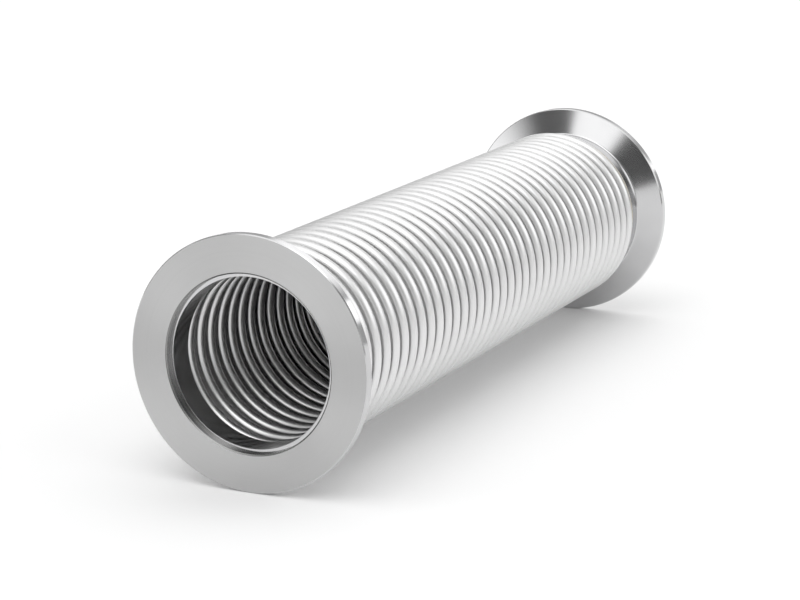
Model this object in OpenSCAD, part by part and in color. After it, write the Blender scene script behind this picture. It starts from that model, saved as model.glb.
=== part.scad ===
// Flanged metal bellows: a thin corrugated tube between two clamp flanges.
// The axis runs along Y through the origin, which lies halfway between the two sealing faces.
// The front flange is at -Y, the rear flange at +Y, and +Z is up.

/* [Flanges] */
// Outside diameter of each flange
flange_d = 75; // [70:1:80]
// Thickness of the flange's cylindrical rim
rim_t = 3; // [2.5:0.1:3.5]
// Slope of the clamping cone behind the rim, measured from the sealing face
cone_angle = 15; // [10:1:20]
// Outside diameter of the neck
neck_d = 57; // [56:0.5:59]
// Distance from the sealing face to the end of the neck
neck_l = 10.5; // [9:0.5:14]
// Diameter of the bore
bore_d = 50; // [46:0.5:50.5]
// Diameter of the recess that takes the centring ring
recess_d = 52.2; // [51.5:0.1:53]
// Depth of that recess
recess_depth = 2; // [1.5:0.1:3]
// Size of the small chamfers on the outer edges
edge_break = 0.3; // [0.1:0.05:0.5]
// Size of the chamfer at the mouth of the recess
mouth_break = 0.4; // [0.2:0.05:0.6]
// Radius of the fillet between cone and neck
neck_fillet = 0.8; // [0.3:0.1:1.2]

/* [Bellows] */
// Number of convolutions
convolutions = 36; // [10:1:60]
// Distance from one convolution to the next
pitch = 6.18; // [5.6:0.02:7.2]
// Outside diameter over the crests
crest_d = 61.3; // [60:0.1:63]
// Inside diameter at the roots
root_d = 50.5; // [50.2:0.1:51]
// Thickness of the corrugated wall
wall = 0.25; // [0.15:0.05:0.3]
// Length of the straight edge of each flared cuff, where it is welded to its neck
cuff_edge = 0.36; // [0.2:0.02:0.6]
// How far the outside of that edge lies below the neck's
cuff_step = 0.1; // [0.05:0.05:0.2]
// Height of the weld seam over the neck
seam_h = 0.2; // [0.1:0.05:0.4]

/* [Hidden] */
flange_r = flange_d / 2;
neck_r = neck_d / 2;
bore_r = bore_d / 2;
recess_r = recess_d / 2;
root_r = root_d / 2;
cuff_r = neck_r - cuff_step;

// Radii of the middle of the wall
root_mid_r = root_r + wall / 2;
crest_mid_r = crest_d / 2 - wall / 2;
cuff_mid_r = cuff_r - wall / 2;

// The cuff turns through two quarter circles, so it is as long as it is high, plus its edge.
bellows_start = neck_l + cuff_mid_r - root_mid_r + cuff_edge;
// From sealing face to sealing face
length = 2 * bellows_start + convolutions * pitch;

// A convolution's middle surface is made of quarter and half circles of this radius.
fold_r = pitch / 4;
// Radius of the cuff's second turn
cuff_turn = cuff_mid_r - root_mid_r - fold_r;

// Where the cone would meet the neck without its fillet
cone_foot = rim_t + (flange_r - neck_r) * tan(cone_angle);
// Distance from that corner to each end of the fillet
fillet_run = neck_fillet * tan((90 - cone_angle) / 2);

// Steps in each quarter circle of a profile
arc_steps = 4;
$fn = 96;

function convolution_name(n) = str("convolution_", n < 10 ? "0" : "", n);

// Points of an arc in a profile, where a point is [distance from the axis, distance along it].
// The angle is 0 along the axis and 90 straight away from it.
function arc(centre_r, centre_y, radius, from, to, steps) = [
    for (k = [0 : steps])
        let (angle = from + (to - from) * k / steps)
            [centre_r + radius * sin(angle), centre_y + radius * cos(angle)]
];

function reversed(points) = [for (k = [len(points) - 1 : -1 : 0]) points[k]];

function all_but_first(points) = [for (k = [1 : len(points) - 1]) points[k]];

// One skin of a convolution from root to root, a distance outside its middle surface
function skin(out) = concat(
    arc(root_mid_r + fold_r, 0, fold_r - out, -90, 0, arc_steps),
    arc(crest_mid_r - fold_r, pitch / 2, fold_r + out, 180, 0, 2 * arc_steps),
    arc(root_mid_r + fold_r, pitch, fold_r - out, 180, 270, arc_steps)
);

// One skin of the flared cuff from the first root to the neck
function cuff_skin(out) = concat(
    arc(root_mid_r + fold_r, bellows_start, fold_r - out, 270, 180, arc_steps),
    all_but_first(arc(
        cuff_mid_r - cuff_turn, neck_l + cuff_edge, cuff_turn + out, 0, 90, arc_steps
    )),
    [[cuff_mid_r + out, neck_l]]
);

function flange_profile() = concat(
    [
        [recess_r + mouth_break, 0],
        [flange_r - edge_break, 0],
        [flange_r, edge_break],
        [flange_r, rim_t - edge_break],
        [flange_r - edge_break, rim_t + edge_break * tan(cone_angle)]
    ],
    arc(
        neck_r + neck_fillet, cone_foot + fillet_run, neck_fillet,
        180 + cone_angle, 270, arc_steps
    ),
    [
        [neck_r, neck_l],
        [bore_r, neck_l],
        [bore_r, recess_depth],
        [recess_r, recess_depth],
        [recess_r, mouth_break]
    ]
);

// Places a piece that is drawn from a sealing face inwards: at the front, or turned round at the rear.
module at_end(rear) {
    translate([0, rear ? length / 2 : -length / 2, 0])
        rotate([rear ? 90 : -90, 0, 0])
            children();
}

module flange(rear) {
    color([0.70, 0.70, 0.69])
        at_end(rear)
            rotate_extrude()
                polygon(flange_profile());
}

// The seam is a low crown over the joint between the neck and the cuff's edge.
module weld(rear) {
    seam_r = (pow(cuff_edge, 2) + pow(seam_h, 2)) / (2 * seam_h);
    seam_angle = asin(cuff_edge / seam_r);
    color([0.62, 0.60, 0.57])
        at_end(rear)
            rotate_extrude()
                polygon(concat(
                    arc(
                        neck_r + seam_h - seam_r, neck_l, seam_r,
                        90 + seam_angle, 90 - seam_angle, 2 * arc_steps
                    ),
                    [[cuff_r, neck_l + cuff_edge], [cuff_r, neck_l], [neck_r, neck_l]]
                ));
}

module cuff(rear) {
    color([0.80, 0.80, 0.79])
        at_end(rear)
            rotate_extrude()
                polygon(concat(cuff_skin(wall / 2), reversed(cuff_skin(-wall / 2))));
}

module convolution(n) {
    color([0.86, 0.86, 0.85])
        at_end(false)
            translate([0, 0, bellows_start + (n - 1) * pitch])
                rotate_extrude()
                    polygon(concat(skin(wall / 2), reversed(skin(-wall / 2))));
}

flange(false);  // front_flange
weld(false);  // front_weld
cuff(false);  // front_cuff
for (n = [1 : convolutions]) {
    convolution(n);
}
cuff(true);  // rear_cuff
weld(true);  // rear_weld
flange(true);  // rear_flange
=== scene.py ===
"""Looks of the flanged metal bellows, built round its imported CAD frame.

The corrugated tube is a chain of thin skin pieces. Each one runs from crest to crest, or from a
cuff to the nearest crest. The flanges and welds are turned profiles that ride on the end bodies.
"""
import math
from collections import namedtuple

import bpy
import numpy as np
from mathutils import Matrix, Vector


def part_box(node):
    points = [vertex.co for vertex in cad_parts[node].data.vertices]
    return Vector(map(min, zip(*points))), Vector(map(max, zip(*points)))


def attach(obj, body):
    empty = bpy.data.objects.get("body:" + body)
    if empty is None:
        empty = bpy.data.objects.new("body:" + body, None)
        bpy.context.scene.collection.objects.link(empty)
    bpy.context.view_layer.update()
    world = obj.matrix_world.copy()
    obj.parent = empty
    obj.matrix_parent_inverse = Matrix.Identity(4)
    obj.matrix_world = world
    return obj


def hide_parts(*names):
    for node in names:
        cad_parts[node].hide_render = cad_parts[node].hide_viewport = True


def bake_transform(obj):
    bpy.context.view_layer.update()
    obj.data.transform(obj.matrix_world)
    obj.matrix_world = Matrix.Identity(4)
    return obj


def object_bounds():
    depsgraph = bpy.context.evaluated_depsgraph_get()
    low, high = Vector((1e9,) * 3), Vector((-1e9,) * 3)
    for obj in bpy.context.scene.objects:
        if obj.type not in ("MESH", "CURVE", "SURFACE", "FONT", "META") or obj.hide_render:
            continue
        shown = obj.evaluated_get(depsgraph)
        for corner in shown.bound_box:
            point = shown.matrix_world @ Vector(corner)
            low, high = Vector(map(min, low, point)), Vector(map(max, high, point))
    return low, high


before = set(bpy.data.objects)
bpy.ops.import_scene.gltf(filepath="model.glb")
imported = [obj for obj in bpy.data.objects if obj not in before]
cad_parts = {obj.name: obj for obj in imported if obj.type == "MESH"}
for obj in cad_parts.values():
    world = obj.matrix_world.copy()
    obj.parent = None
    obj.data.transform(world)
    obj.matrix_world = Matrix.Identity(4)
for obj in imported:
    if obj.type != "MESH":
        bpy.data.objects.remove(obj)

cad_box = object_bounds()

MM = 0.001

# ---------------------------------------------------------------------------------------------
# Sizes, worked out from the frame. Y runs along the axis; a profile point is (y, r).

CONVOLUTIONS = sorted(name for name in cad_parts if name.startswith("convolution_"))
WALL = 0.25 * MM
ROOT_BORE_R = 25.25 * MM

flange_low, flange_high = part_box("front_flange")
cuff_low, cuff_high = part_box("front_cuff")
fold_low, fold_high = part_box(CONVOLUTIONS[0])

weld_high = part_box("front_weld")[1]

FACE_Y = flange_low.y
FLANGE_R = flange_high.x
NECK_END = flange_high.y - flange_low.y
ROOT_Y = [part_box(name)[0].y for name in CONVOLUTIONS] + [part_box(CONVOLUTIONS[-1])[1].y]
PITCH = fold_high.y - fold_low.y
FOLD_R = PITCH / 4
ROOT_MID = ROOT_BORE_R + WALL / 2
CREST_MID = fold_high.x - WALL / 2
CUFF_L = cuff_high.y - cuff_low.y
CUFF_MID = cuff_high.x - WALL / 2
CUFF_TURN = CUFF_MID - ROOT_MID - FOLD_R

RIM_T = 3.0 * MM
CONE_ANGLE = math.radians(15)
NECK_R = 28.5 * MM
BORE_R = 25.0 * MM
RECESS_R = 26.1 * MM
RECESS_DEPTH = 2.0 * MM
MOUTH_BREAK = 0.4 * MM
EDGE_BREAK = 0.3 * MM
NECK_FILLET = 0.8 * MM
SEAM_END = weld_high.y - FACE_Y
SEAM_TOP = weld_high.x

SKIN_ROUND_STEPS = 128
FLANGE_ROUND_STEPS = 256


# ---------------------------------------------------------------------------------------------
# Mesh helpers

def arc(centre_y, centre_r, radius, start, end, steps, outward=1):
    """Points (y, r) and normals of a round stretch of a profile. 0 degrees points along +Y, 90 away
    from the axis. The normals point away from the centre, or towards it if outward is -1."""
    points = []
    for k in range(steps + 1):
        a = math.radians(start + (end - start) * k / steps)
        along, away = math.cos(a), math.sin(a)
        points.append((centre_y + radius * along, centre_r + radius * away,
                       outward * along, outward * away))
    return points


def straight(start, end, normal, steps=1):
    """Points (y, r) and normals of a straight stretch of a profile."""
    points = []
    for k in range(steps + 1):
        t = k / steps
        y = start[0] + (end[0] - start[0]) * t
        r = start[1] + (end[1] - start[1]) * t
        points.append((y, r, normal[0], normal[1]))
    return points


def revolve(name, stretches, steps):
    """A ring turned from a closed profile. stretches is a list of (points, material index); each
    keeps its own normals, so the edge between two of them is sharp where their normals differ."""
    angles = np.linspace(0, 2 * math.pi, steps, endpoint=False)
    cosines, sines = np.cos(angles), np.sin(angles)
    rows = []
    for points, index in stretches:
        for first, second in zip(points, points[1:]):
            rows.append((first, second, index))
    verts = np.concatenate([
        np.column_stack([r * cosines, np.full(steps, y), r * sines]) for (y, r, _, _), _, _ in rows
    ])
    faces, normals, indices = [], [], []
    around = np.arange(steps)
    ahead = (around + 1) % steps
    for k, (first, second, index) in enumerate(rows):
        low = k * steps
        high = ((k + 1) % len(rows)) * steps
        quads = np.column_stack([low + around, high + around, high + ahead, low + ahead])
        faces.append(quads)
        corner = []
        for (_, _, ny, nr), turn in ((first, around), (second, around), (second, ahead),
                                     (first, ahead)):
            corner.append(np.column_stack([nr * cosines[turn], np.full(steps, ny),
                                           nr * sines[turn]]))
        normals.append(np.stack(corner, axis=1))
        indices.append(np.full(steps, index))
    return make_mesh(name, verts, np.concatenate(faces), np.concatenate(normals),
                     np.concatenate(indices))


def make_mesh(name, verts, quads, normals, indices):
    """An object with these corners, four-sided faces, corner normals and material indices."""
    mesh = bpy.data.meshes.new(name)
    mesh.from_pydata(verts.tolist(), [], quads.tolist())
    mesh.polygons.foreach_set("use_smooth", np.ones(len(quads), bool))
    mesh.polygons.foreach_set("material_index", indices.astype(np.int32))
    mesh.update()
    flat = normals.reshape(-1, 3)
    flat = flat / np.linalg.norm(flat, axis=1, keepdims=True)
    mesh.normals_split_custom_set(flat.tolist())
    obj = bpy.data.objects.new(name, mesh)
    bpy.context.scene.collection.objects.link(obj)
    return obj


def mirrored(stretches):
    """The same profile turned round end for end, kept in the same winding."""
    turned = []
    for points, index in reversed(stretches):
        turned.append(([(-y, r, -ny, nr) for y, r, ny, nr in reversed(points)], index))
    return turned


# ---------------------------------------------------------------------------------------------
# Materials

class Nodes:
    """A short way to build a node material."""

    def __init__(self, name):
        self.material = bpy.data.materials.new(name)
        self.material.use_nodes = True
        self.tree = self.material.node_tree
        self.shader = self.tree.nodes["Principled BSDF"]
        self.shader.inputs["Metallic"].default_value = 1.0

    def add(self, kind, **values):
        node = self.tree.nodes.new(kind)
        for key, value in values.items():
            if hasattr(node, key):
                setattr(node, key, value)
            else:
                node.inputs[key.replace("_", " ")].default_value = value
        return node

    def link(self, source, target):
        self.tree.links.new(source, target)

    def coordinates(self):
        return self.add("ShaderNodeTexCoord").outputs["Object"]

    def math(self, operation, *terms):
        node = self.add("ShaderNodeMath", operation=operation)
        for k, term in enumerate(terms):
            if isinstance(term, (int, float)):
                node.inputs[k].default_value = term
            else:
                self.link(term, node.inputs[k])
        return node.outputs[0]

    def polar(self):
        """(radius, angle / turn, y) of the shaded point about the Y axis."""
        split = self.add("ShaderNodeSeparateXYZ")
        self.link(self.coordinates(), split.inputs[0])
        x, y, z = split.outputs
        radius = self.math("SQRT", self.math("ADD", self.math("MULTIPLY", x, x),
                                             self.math("MULTIPLY", z, z)))
        angle = self.math("DIVIDE", self.math("ARCTAN2", z, x), 2 * math.pi)
        return radius, angle, y

    def repeats(self, length, per_metre):
        """A length scaled so that a noise of scale 1 has about per_metre features in a metre."""
        return self.math("MULTIPLY", length, per_metre)

    def vector(self, x, y, z):
        node = self.add("ShaderNodeCombineXYZ")
        for k, term in enumerate((x, y, z)):
            if isinstance(term, (int, float)):
                node.inputs[k].default_value = term
            else:
                self.link(term, node.inputs[k])
        return node.outputs[0]

    def noise(self, vector, scale, detail=3.0, roughness=0.5):
        node = self.add("ShaderNodeTexNoise", Scale=scale, Detail=detail, Roughness=roughness)
        self.link(vector, node.inputs["Vector"])
        return node.outputs["Fac"]

    def spread(self, value, low, high):
        node = self.add("ShaderNodeMapRange", To_Min=low, To_Max=high)
        self.link(value, node.inputs["Value"])
        return node.outputs["Result"]

    def ramp(self, value, *stops):
        node = self.add("ShaderNodeValToRGB")
        ramp = node.color_ramp
        while len(ramp.elements) < len(stops):
            ramp.elements.new(0.5)
        for element, (position, colour) in zip(ramp.elements, stops):
            element.position = position
            element.color = (*colour, 1)
        self.link(value, node.inputs["Fac"])
        return node.outputs["Color"]

    def bump(self, height, strength, distance):
        node = self.add("ShaderNodeBump", Strength=strength, Distance=distance)
        self.link(height, node.inputs["Height"])
        return node.outputs["Normal"]

    def mix(self, *shares):
        """The sum of some noises, each times its share."""
        total = None
        for noise, share in shares:
            part = self.math("MULTIPLY", noise, share)
            total = part if total is None else self.math("ADD", total, part)
        return total

    def finish(self, colour=None, roughness=None, normal=None, anisotropic=0.0):
        for value, socket in ((colour, "Base Color"), (roughness, "Roughness"), (normal, "Normal")):
            if value is not None:
                self.link(value, self.shader.inputs[socket])
        if anisotropic:
            self.shader.inputs["Anisotropic"].default_value = anisotropic
            tangent = self.add("ShaderNodeTangent", direction_type="RADIAL", axis="Y")
            self.link(tangent.outputs[0], self.shader.inputs["Tangent"])
        return self.material


def grey(level):
    return (level, level, level)


def turned_steel():
    """The sealing face: fine concentric tool marks with a soft sheen across them."""
    n = Nodes("turned_steel")
    radius, angle, y = n.polar()
    marks = n.noise(n.vector(n.repeats(radius, per_metre=9000.0), angle, y), scale=1.0, detail=4.0,
                    roughness=0.7)
    bands = n.noise(n.vector(n.repeats(radius, per_metre=900.0), 0.0, 0.0), scale=1.0, detail=2.0)
    clouds = n.noise(n.coordinates(), scale=45.0)
    tone = n.mix((marks, 0.4), (bands, 0.15), (clouds, 0.45))
    colour = n.ramp(tone, (0.3, grey(0.48)), (0.7, grey(0.53)))
    roughness = n.spread(marks, low=0.30, high=0.38)
    normal = n.bump(marks, strength=0.10, distance=0.03 * MM)
    return n.finish(colour, roughness, normal, anisotropic=0.75)


def polished_steel():
    """The clamping cone, rim and bore: nearly mirror-bright, with faint turning lines and wipes."""
    n = Nodes("polished_steel")
    radius, angle, y = n.polar()
    run = n.repeats(n.math("ADD", radius, y), per_metre=5000.0)
    marks = n.noise(n.vector(run, angle, 0.0), scale=1.0, roughness=0.6)
    clouds = n.noise(n.coordinates(), scale=60.0, detail=4.0)
    colour = n.ramp(clouds, (0.3, (0.56, 0.56, 0.565)), (0.7, (0.61, 0.61, 0.615)))
    roughness = n.spread(clouds, low=0.09, high=0.14)
    normal = n.bump(marks, strength=0.05, distance=0.02 * MM)
    return n.finish(colour, roughness, normal, anisotropic=0.3)


def recess_shade_steel():
    """The wall of the recess: rougher than the bore, and darker in colour than the face and the
    bore, which is painted shade in the recess.
    """
    n = Nodes("recess_shade_steel")
    _, angle, y = n.polar()
    marks = n.noise(n.vector(n.repeats(y, per_metre=6000.0), angle, 0.0), scale=1.0, roughness=0.6)
    # painted shade: the recess wall's colour is kept far darker than the rest of the flange
    colour = n.ramp(marks, (0.3, grey(0.20)), (0.7, (0.30, 0.30, 0.295)))
    roughness = n.spread(marks, low=0.22, high=0.32)
    normal = n.bump(marks, strength=0.10, distance=0.03 * MM)
    return n.finish(colour, roughness, normal, anisotropic=0.4)


def bellows_steel(name, tone_mid, rough_low, rough_high, line_depth):
    """Bright satin sheet: drawing lines round the tube and a slight change of tone along it."""
    n = Nodes(name)
    radius, angle, y = n.polar()
    run = n.repeats(n.math("ADD", y, radius), per_metre=4000.0)
    along_lines = n.math("MULTIPLY", angle, 6.0)
    lines = n.noise(n.vector(run, along_lines, 0.0), scale=1.0, detail=4.0, roughness=0.65)
    along_folds = n.math("MULTIPLY", angle, 1.5)
    folds = n.noise(n.vector(n.repeats(y, per_metre=160.0), along_folds, 0.0), scale=1.0, detail=2.0)
    grain = n.noise(n.coordinates(), scale=1800.0, detail=2.0)
    tone = n.mix((lines, 0.5), (folds, 0.5))
    colour = n.ramp(tone, (0.3, grey(tone_mid - 0.04)), (0.7, grey(tone_mid + 0.04)))
    roughness = n.spread(n.mix((lines, 0.6), (grain, 0.4)), rough_low, rough_high)
    normal = n.bump(lines, line_depth, distance=0.03 * MM)
    return n.finish(colour, roughness, normal, anisotropic=0.2)


def weld_steel():
    """The weld seam: duller than the sheet, straw-coloured where it ran hot."""
    n = Nodes("weld_steel")
    patches = n.noise(n.coordinates(), scale=240.0, detail=4.0)
    colour = n.ramp(patches, (0.3, (0.50, 0.45, 0.36)), (0.5, (0.60, 0.57, 0.51)),
                    (0.7, (0.64, 0.63, 0.62)))
    roughness = n.spread(n.noise(n.coordinates(), scale=900.0), low=0.28, high=0.42)
    normal = n.bump(n.noise(n.coordinates(), scale=2500.0), strength=0.15, distance=0.04 * MM)
    return n.finish(colour, roughness, normal)


# ---------------------------------------------------------------------------------------------
# Corrugated tube

QUARTER_STEPS = 6
OUTER, INNER = WALL / 2, -WALL / 2
OUTSIDE, BORE_SIDE = 0, 1


def half_fold(root_y, side, out):
    """One skin's profile from a root plane to the next crest plane, towards side, +1 or -1. out is
    its distance outside the middle surface. The normals point out of the sheet."""
    sign = 1 if out > 0 else -1
    root = arc(0, ROOT_MID + FOLD_R, FOLD_R - out, -90, 0, QUARTER_STEPS, -sign)
    crest = arc(2 * FOLD_R, CREST_MID - FOLD_R, FOLD_R + out, 180, 90, QUARTER_STEPS, sign)
    return [(root_y + side * y, r, side * ny, nr) for y, r, ny, nr in root + crest]


def cuff_run(root_y, side, out):
    """One skin's profile from a root plane out through the flared cuff to the neck."""
    sign = 1 if out > 0 else -1
    root = arc(0, ROOT_MID + FOLD_R, FOLD_R - out, -90, 0, QUARTER_STEPS, -sign)
    turn_y = FOLD_R + CUFF_TURN
    turn = arc(turn_y, CUFF_MID - CUFF_TURN, CUFF_TURN + out, 180, 90, QUARTER_STEPS, sign)
    edge = (CUFF_L, CUFF_MID + out, 0, sign)
    return [(root_y + side * y, r, side * ny, nr) for y, r, ny, nr in root + turn[1:] + [edge]]


def skin_piece(k, materials):
    """The stretch of tube about root k, counting from 0, out to the crest or cuff on each side."""
    root_y = ROOT_Y[k]
    back = cuff_run if k == 0 else half_fold
    ahead = cuff_run if k == len(CONVOLUTIONS) else half_fold
    outer = back(root_y, -1, OUTER)[::-1] + ahead(root_y, 1, OUTER)[1:]
    inner = back(root_y, -1, INNER)[::-1] + ahead(root_y, 1, INNER)[1:]
    inner.reverse()
    far_cap = [(outer[-1][0], outer[-1][1], 1, 0), (inner[0][0], inner[0][1], 1, 0)]
    near_cap = [(inner[-1][0], inner[-1][1], -1, 0), (outer[0][0], outer[0][1], -1, 0)]
    stretches = [(outer, OUTSIDE), (far_cap, OUTSIDE), (inner, BORE_SIDE), (near_cap, OUTSIDE)]
    piece = revolve(f"bellows_skin_{k:02d}", stretches, SKIN_ROUND_STEPS)
    for material in materials:
        piece.data.materials.append(material)
    stands_for = [CONVOLUTIONS[k]] if k < len(CONVOLUTIONS) else ["rear_cuff"]
    if k == 0:
        stands_for.insert(0, "front_cuff")
    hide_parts(*stands_for)
    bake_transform(piece)


# ---------------------------------------------------------------------------------------------
# Flanges and welds

FACE, POLISH, RECESS = 0, 1, 2
FILLET_STEPS = 6
DIAGONAL = math.sqrt(0.5)


def flange_stretches():
    """The flange's profile, with y measured from its sealing face, going round the solid."""
    slope = math.tan(CONE_ANGLE)
    cone_normal = (math.cos(CONE_ANGLE), math.sin(CONE_ANGLE))
    back_edge_normal = (0.6, 0.8)
    cone_foot = RIM_T + (FLANGE_R - NECK_R) * slope
    run = NECK_FILLET * math.tan((math.pi / 2 - CONE_ANGLE) / 2)
    fillet_y, fillet_r = cone_foot + run, NECK_R + NECK_FILLET
    cone_top = (RIM_T + EDGE_BREAK * slope, FLANGE_R - EDGE_BREAK)
    cone_end = (fillet_y - NECK_FILLET * cone_normal[0], fillet_r - NECK_FILLET * cone_normal[1])
    fillet_from = 180 + math.degrees(CONE_ANGLE)
    fillet = arc(fillet_y, fillet_r, NECK_FILLET, fillet_from, 270, FILLET_STEPS, outward=-1)
    return [
        (straight((0, RECESS_R + MOUTH_BREAK), (0, FLANGE_R - EDGE_BREAK), (-1, 0), steps=8), FACE),
        (straight((0, FLANGE_R - EDGE_BREAK), (EDGE_BREAK, FLANGE_R),
                  (-DIAGONAL, DIAGONAL)), POLISH),
        (straight((EDGE_BREAK, FLANGE_R), (RIM_T - EDGE_BREAK, FLANGE_R), (0, 1), steps=2), POLISH),
        (straight((RIM_T - EDGE_BREAK, FLANGE_R), cone_top, back_edge_normal), POLISH),
        (straight(cone_top, cone_end, cone_normal, steps=6), POLISH),
        (fillet, POLISH),
        (straight((fillet_y, NECK_R), (NECK_END, NECK_R), (0, 1), steps=3), POLISH),
        (straight((NECK_END, NECK_R), (NECK_END, BORE_R), (1, 0), steps=2), POLISH),
        (straight((NECK_END, BORE_R), (RECESS_DEPTH, BORE_R), (0, -1), steps=4), POLISH),
        (straight((RECESS_DEPTH, BORE_R), (RECESS_DEPTH, RECESS_R), (-1, 0)), POLISH),
        (straight((RECESS_DEPTH, RECESS_R), (MOUTH_BREAK, RECESS_R), (0, -1)), RECESS),
        (straight((MOUTH_BREAK, RECESS_R), (0, RECESS_R + MOUTH_BREAK),
                  (-DIAGONAL, -DIAGONAL)), RECESS),
    ]


def at_end(stretches, end):
    """A profile measured from a sealing face, put at the front or the rear of the part."""
    moved = [([(y + FACE_Y, r, ny, nr) for y, r, ny, nr in points], index)
             for points, index in stretches]
    return mirrored(moved) if end == "rear" else moved


def flange(end, materials):
    """The turned flange with its neck, which rides on its end of the part."""
    profile = at_end(flange_stretches(), end)
    piece = revolve(f"{end}_flange_turned", profile, FLANGE_ROUND_STEPS)
    for material in materials:
        piece.data.materials.append(material)
    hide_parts(f"{end}_flange")
    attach(piece, f"{end}_end")


RIPPLES = 150
STEPS_PER_RIPPLE = 6
RIPPLE_DEPTH = 0.35  # share of the crown's height
RIPPLE_LEAN = 0.001  # share of a turn, from the foot of the crown to its top
CROWN_STEPS = 8


def weld(end, material):
    """The low seam over the joint of neck and cuff, with a ripple where each pool froze."""
    half = SEAM_END - NECK_END
    crown = SEAM_TOP - NECK_R
    crown_r = (half ** 2 + crown ** 2) / (2 * crown)
    span = math.degrees(math.asin(half / crown_r))
    cuff_r = CUFF_MID + OUTER
    seam = arc(NECK_END, SEAM_TOP - crown_r, crown_r, 90 + span, 90 - span, CROWN_STEPS)
    stretches = [
        (seam, 0),
        (straight((SEAM_END, NECK_R), (SEAM_END, cuff_r), (1, 0)), 0),
        (straight((SEAM_END, cuff_r), (NECK_END, cuff_r), (0, -1)), 0),
        (straight((NECK_END, cuff_r), (NECK_END, NECK_R), (-1, 0)), 0),
        (straight((NECK_END, NECK_R), (2 * NECK_END - SEAM_END, NECK_R), (0, -1)), 0),
    ]
    piece = revolve(f"{end}_weld_seam", at_end(stretches, end), STEPS_PER_RIPPLE * RIPPLES)
    for corner in piece.data.vertices:
        radius = math.hypot(corner.co.x, corner.co.z)
        height = max(radius - NECK_R, 0) / crown
        angle = math.atan2(corner.co.z, corner.co.x) / (2 * math.pi)
        turn = (angle + height * RIPPLE_LEAN) * RIPPLES
        sunk = RIPPLE_DEPTH * crown * height * (turn - math.floor(turn)) ** 2
        corner.co.x *= 1 - sunk / radius
        corner.co.z *= 1 - sunk / radius
    piece.data.materials.append(material)
    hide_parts(f"{end}_weld")
    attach(piece, f"{end}_end")


sheet_steels = (
    bellows_steel("bellows_steel", tone_mid=0.76, rough_low=0.31, rough_high=0.39, line_depth=0.08),
    # painted shade: the bore side is the same sheet with a darker tone, 0.70 against 0.76, for the
    # shade inside the tube
    bellows_steel("bore_side_shaded_steel", tone_mid=0.70, rough_low=0.29, rough_high=0.36,
                  line_depth=0.03),
)
for k in range(len(ROOT_Y)):
    skin_piece(k, sheet_steels)
flange_steels = (turned_steel(), polished_steel(), recess_shade_steel())
bead_steel = weld_steel()
for end in ("front", "rear"):
    flange(end, flange_steels)
    weld(end, bead_steel)


# ---------------------------------------------------------------------------------------------
# Studio

def direction(azimuth, elevation):
    """From the part towards a light or the camera, both angles in degrees, azimuth 0 in front."""
    a, e = math.radians(azimuth), math.radians(elevation)
    return Vector((math.sin(a) * math.cos(e), -math.cos(a) * math.cos(e), math.sin(e)))


FLOOR_HALF = 8.0


def floor():
    """A pale floor, far wider than the part, that it stands on at rest."""
    low, half = cad_box[0].z, FLOOR_HALF
    mesh = bpy.data.meshes.new("studio_floor")
    corners = [(-half, -half, low), (half, -half, low), (half, half, low), (-half, half, low)]
    mesh.from_pydata(corners, [], [(0, 1, 2, 3)])
    obj = bpy.data.objects.new("studio_floor", mesh)
    bpy.context.scene.collection.objects.link(obj)
    material = bpy.data.materials.new("pale_floor")
    material.use_nodes = True
    shader = material.node_tree.nodes["Principled BSDF"]
    shader.inputs["Base Color"].default_value = (0.92, 0.92, 0.92, 1)
    shader.inputs["Roughness"].default_value = 0.9
    shader.inputs["Specular IOR Level"].default_value = 0.1
    shader.inputs["Emission Color"].default_value = (1, 1, 1, 1)
    shader.inputs["Emission Strength"].default_value = 0.04
    mesh.materials.append(material)


# Each soft box hangs far away in one direction: azimuth from the front, positive to the right,
# elevation, half its width and height, all in degrees, the share of it that is soft edge, strength.
SoftBox = namedtuple("SoftBox", "azimuth elevation half_width half_height edge strength")
SOFT_BOXES = [
    SoftBox(0, 89, 34, 34, 0.4, 0.9),        # overhead
    SoftBox(12, 50, 22, 18, 0.3, 1.2),       # high in front
    SoftBox(105, 28, 38, 16, 0.4, 1.1),      # right side
    SoftBox(-64, 14, 24, 20, 0.35, 1.5),     # left of the front
    SoftBox(50, -6, 34, 22, 0.3, 0.5),       # low on the right
    SoftBox(193, 31, 28, 8, 0.3, 1.0),       # wide strip behind
    SoftBox(157, 14, 5, 5, 0.2, 1.6),        # small lamp behind on the right
    SoftBox(-10.5, 17, 8.5, 19, 0.15, 1.5),  # tall strip in front
]

# The dome's strength in front, behind and overhead, and where along Y and Z it changes over.
DOME_FRONT, DOME_BACK, DOME_HIGH = 0.10, 0.50, 0.5
FRONT_ENDS, BACK_STARTS = -0.6, 0.5
LOW_ENDS, HIGH_STARTS = 0.2, 0.9
WHITE_TO_CAMERA = 1.05
LEAST_DEPTH = 1e-4  # the least cosine to a soft box's middle, so that nothing is divided by zero


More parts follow.
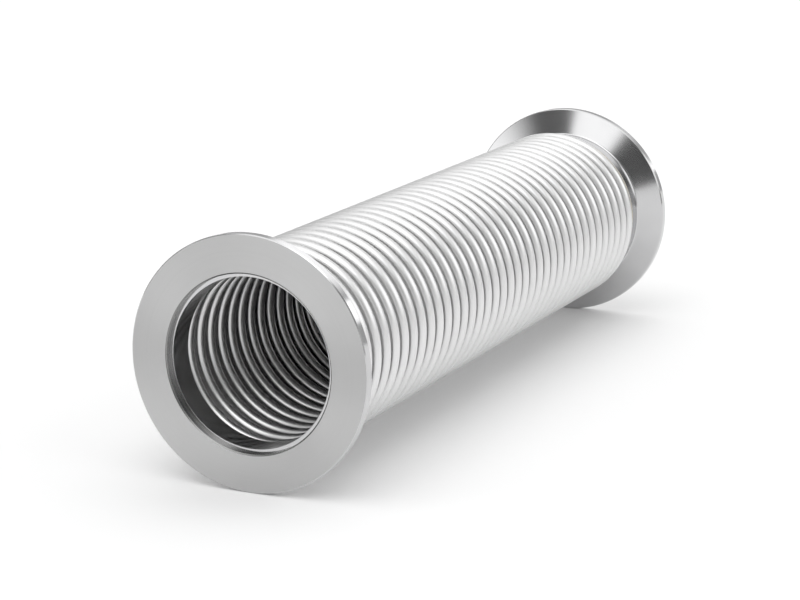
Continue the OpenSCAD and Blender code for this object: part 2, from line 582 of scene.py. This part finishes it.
def studio_world():
    """A dim dome with soft boxes. The camera itself sees plain white past the floor's edge."""
    world = bpy.data.worlds.new("studio")
    bpy.context.scene.world = world
    world.use_nodes = True
    tree = world.node_tree
    background = tree.nodes["Background"]
    looking = tree.nodes.new("ShaderNodeTexCoord").outputs["Generated"]

    def number(operation, *terms):
        node = tree.nodes.new("ShaderNodeMath")
        node.operation = operation
        for k, term in enumerate(terms):
            if isinstance(term, (int, float)):
                node.inputs[k].default_value = term
            else:
                tree.links.new(term, node.inputs[k])
        return node.outputs[0]

    def along(axis):
        node = tree.nodes.new("ShaderNodeVectorMath")
        node.operation = "DOT_PRODUCT"
        tree.links.new(looking, node.inputs[0])
        node.inputs[1].default_value = axis
        return node.outputs["Value"]

    def smooth(value, start, end, low=0.0, high=1.0):
        node = tree.nodes.new("ShaderNodeMapRange")
        node.interpolation_type = "SMOOTHSTEP"
        tree.links.new(value, node.inputs["Value"])
        for key, setting in (("From Min", start), ("From Max", end),
                             ("To Min", low), ("To Max", high)):
            node.inputs[key].default_value = setting
        return node.outputs["Result"]

    level = smooth(along((0, 1, 0)), FRONT_ENDS, BACK_STARTS, DOME_FRONT, DOME_BACK)
    height = smooth(along((0, 0, 1)), LOW_ENDS, HIGH_STARTS)
    light = number("ADD", number("MULTIPLY", height, DOME_HIGH),
                   number("MULTIPLY", number("SUBTRACT", 1.0, height), level))
    for box in SOFT_BOXES:
        middle = direction(box.azimuth, box.elevation)
        across = direction(box.azimuth + 90, 0)
        upward = across.cross(middle)
        depth = number("MAXIMUM", along(middle), LEAST_DEPTH)
        inside = None
        for axis, half in ((across, box.half_width), (upward, box.half_height)):
            reach = math.tan(math.radians(half))
            offset = number("ABSOLUTE", number("DIVIDE", along(axis), depth))
            mask = smooth(offset, reach * (1 + box.edge), reach * (1 - box.edge))
            inside = mask if inside is None else number("MULTIPLY", inside, mask)
        light = number("ADD", light, number("MULTIPLY", inside, box.strength))
    rays = tree.nodes.new("ShaderNodeLightPath").outputs["Is Camera Ray"]
    light = number("ADD", number("MULTIPLY", rays, WHITE_TO_CAMERA),
                   number("MULTIPLY", number("SUBTRACT", 1.0, rays), light))
    tree.links.new(light, background.inputs["Strength"])
    background.inputs["Color"].default_value = (1, 1, 1, 1)


CAMERA_AZIMUTH, CAMERA_ELEVATION = 25.04, 13.39
CAMERA_DISTANCE = 790 * MM
CAMERA_LENS = 108.14
AIM_FROM_MIDDLE = Vector((-11.1, 0, -9.3)) * MM


def camera():
    """Looks along the axis from the front right, a little above it."""
    aim = (cad_box[0] + cad_box[1]) / 2 + AIM_FROM_MIDDLE
    back = direction(CAMERA_AZIMUTH, CAMERA_ELEVATION)
    data = bpy.data.cameras.new("camera")
    data.sensor_width = 36
    data.lens = CAMERA_LENS
    data.clip_start = 0.01
    data.clip_end = 30
    obj = bpy.data.objects.new("camera", data)
    obj.location = aim + back * CAMERA_DISTANCE
    obj.rotation_mode = "QUATERNION"
    obj.rotation_quaternion = (-back).to_track_quat("-Z", "Y")
    bpy.context.scene.collection.objects.link(obj)
    bpy.context.scene.camera = obj


floor()
studio_world()
camera()
bpy.context.scene.view_settings.view_transform = "Standard"
